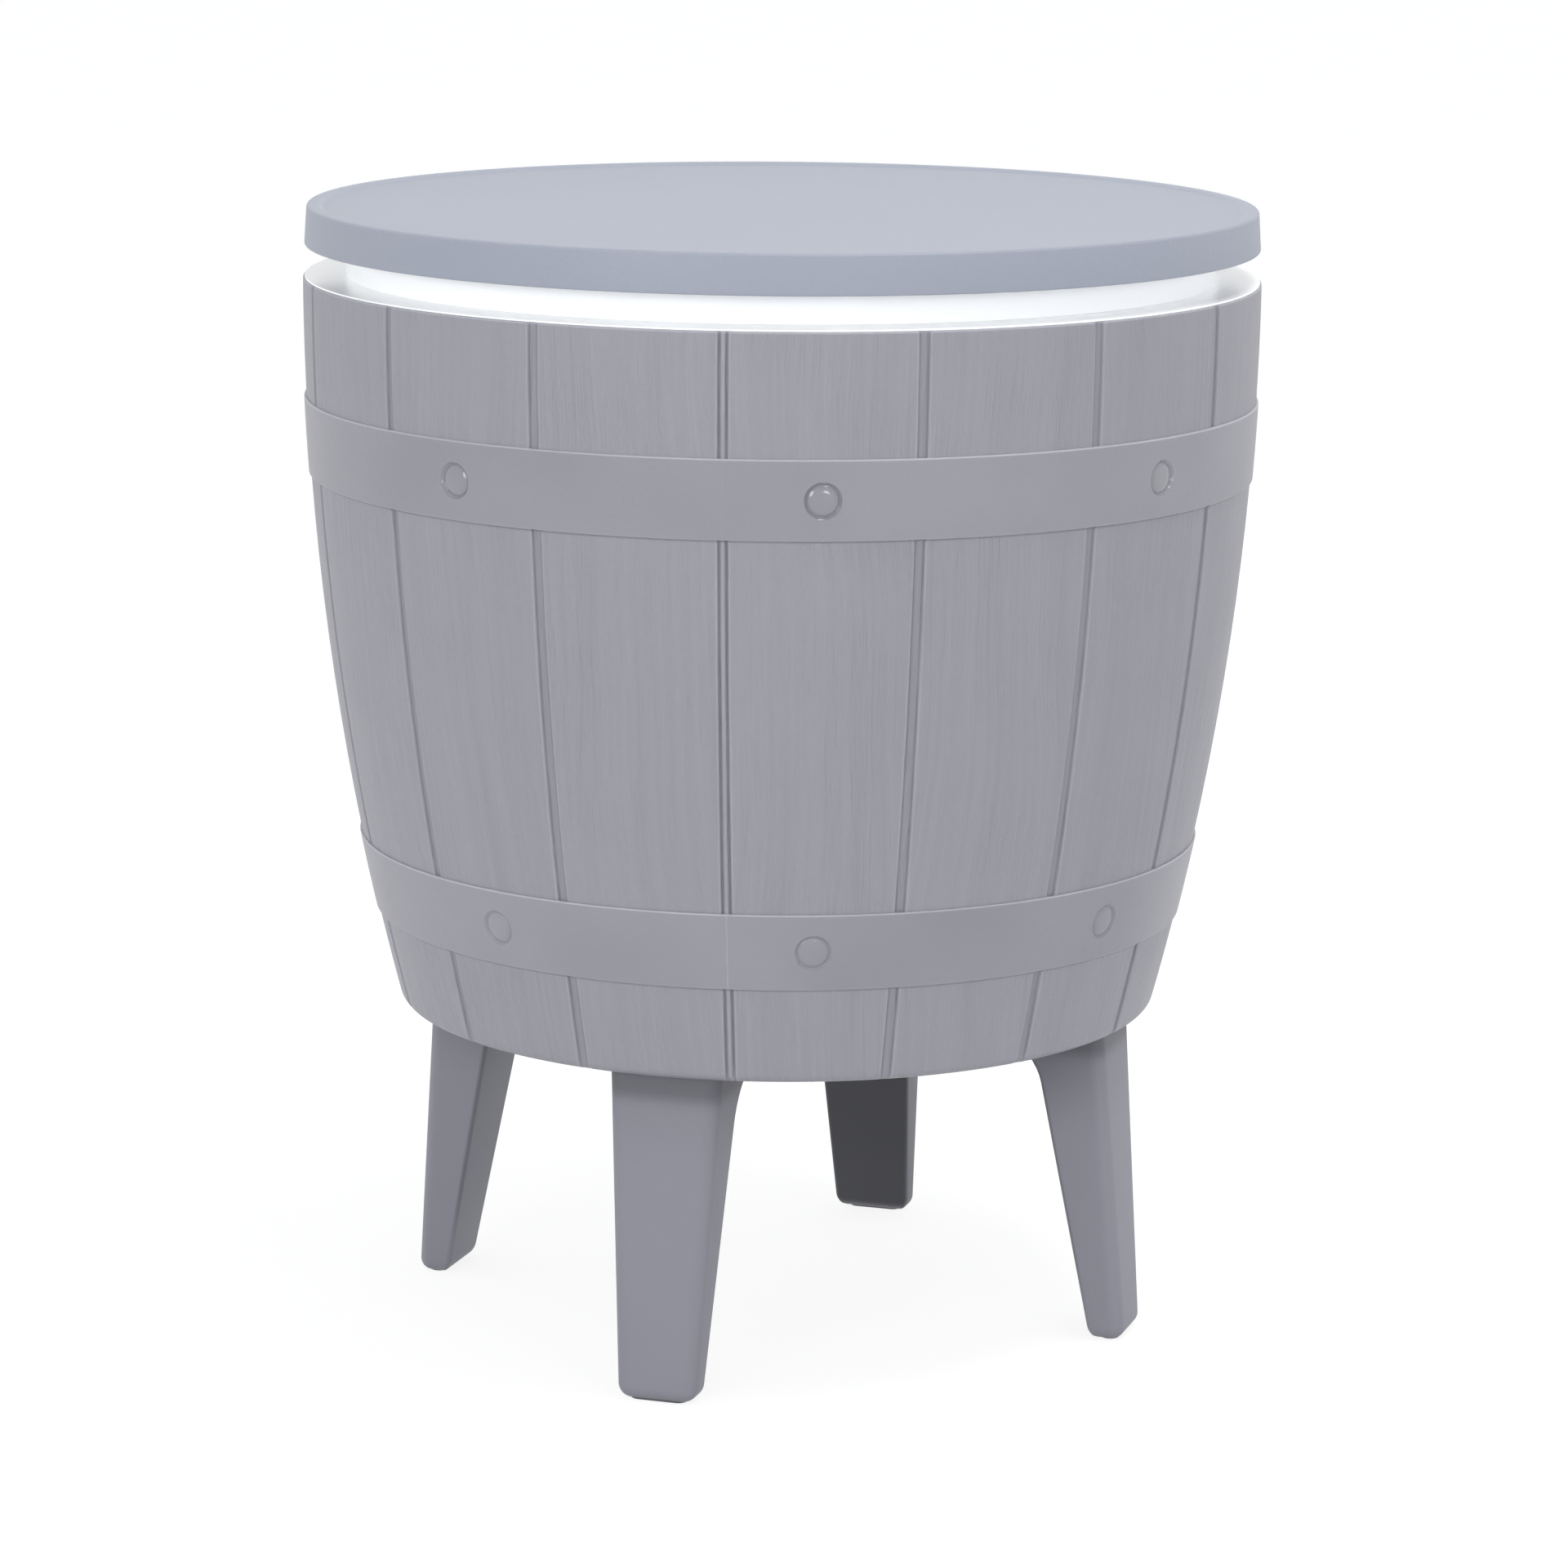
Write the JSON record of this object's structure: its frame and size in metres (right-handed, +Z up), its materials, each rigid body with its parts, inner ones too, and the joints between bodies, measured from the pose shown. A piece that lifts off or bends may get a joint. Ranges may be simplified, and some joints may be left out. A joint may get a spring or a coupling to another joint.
{
  "type": "cooler table with lid",
  "caption": "Round barrel-shaped side table on splayed legs, with an ice bucket under a table-top lid that pulls up on a centre post and twists to lock.",
  "frame": {"origin": "on the floor, on the centre line of the barrel, lid closed", "axes": "+Z up along the centre post; the legs stand on the diagonals; +X right, -Y to the front"},
  "size_m": [0.4966, 0.4966, 0.5893],
  "materials": {
    "barrel_grey": "mid grey, staves with a fine wood grain",
    "lid_grey": "mid grey, fine leather grain",
    "leg_grey": "mid grey, fine spark finish",
    "white_plastic": "white, satin",
    "inner_plastic": "light grey, as moulded",
    "bearing_plastic": "dark grey, smooth",
    "drain_plastic": "off-white, satin",
    "black_rubber": "black, soft",
    "glide_rubber": "dark grey, matt",
    "tube_aluminium": "drawn, anodised, satin",
    "zinc_steel": "zinc plated"
  },
  "bodies": {
    "base": {"barrel_shell": "barrel_grey", "ice_bucket": "white_plastic", "guide_tube": "inner_plastic", "guide_base": "inner_plastic", "guide_screws": "zinc_steel", "top_collar": "inner_plastic", "wiper_ring": "black_rubber", "drain_pipe": "drain_plastic", "drain_seal": "black_rubber", "drain_nut": "drain_plastic", "leg_screws": "zinc_steel", "leg_front_left": "leg_grey", "leg_front_right": "leg_grey", "leg_rear_left": "leg_grey", "leg_rear_right": "leg_grey", "foot_glide_front_left": "glide_rubber", "foot_glide_front_right": "glide_rubber", "foot_glide_rear_left": "glide_rubber", "foot_glide_rear_right": "glide_rubber"},
    "lock_carriage": {"locking_collar": "bearing_plastic"},
    "lid": {"table_top": "lid_grey", "lid_underside": "white_plastic", "lid_screws": "zinc_steel", "post_flange": "inner_plastic", "flange_screws": "zinc_steel", "cross_pin": "zinc_steel", "lift_tube": "tube_aluminium", "tube_end_plug": "inner_plastic", "plug_rivets": "zinc_steel", "retaining_ring": "zinc_steel"},
    "drain_stopper": {"drain_plug": "black_rubber"}
  },
  "joints": [
    {"name": "lid_lift", "type": "slide", "parent": "base", "child": "lock_carriage", "axis": [0, 0, 1], "range_m": [0, 0.265]},
    {"name": "lid_turn", "type": "hinge", "parent": "lock_carriage", "child": "lid", "pos_m": [0, 0, 0.21], "axis": [0, 0, 1], "range_deg": [0, 90]},
    {"name": "drain_pull", "type": "slide", "parent": "base", "child": "drain_stopper", "axis": [0, 0, -1], "range_m": [0, 0.03]}
  ]
}
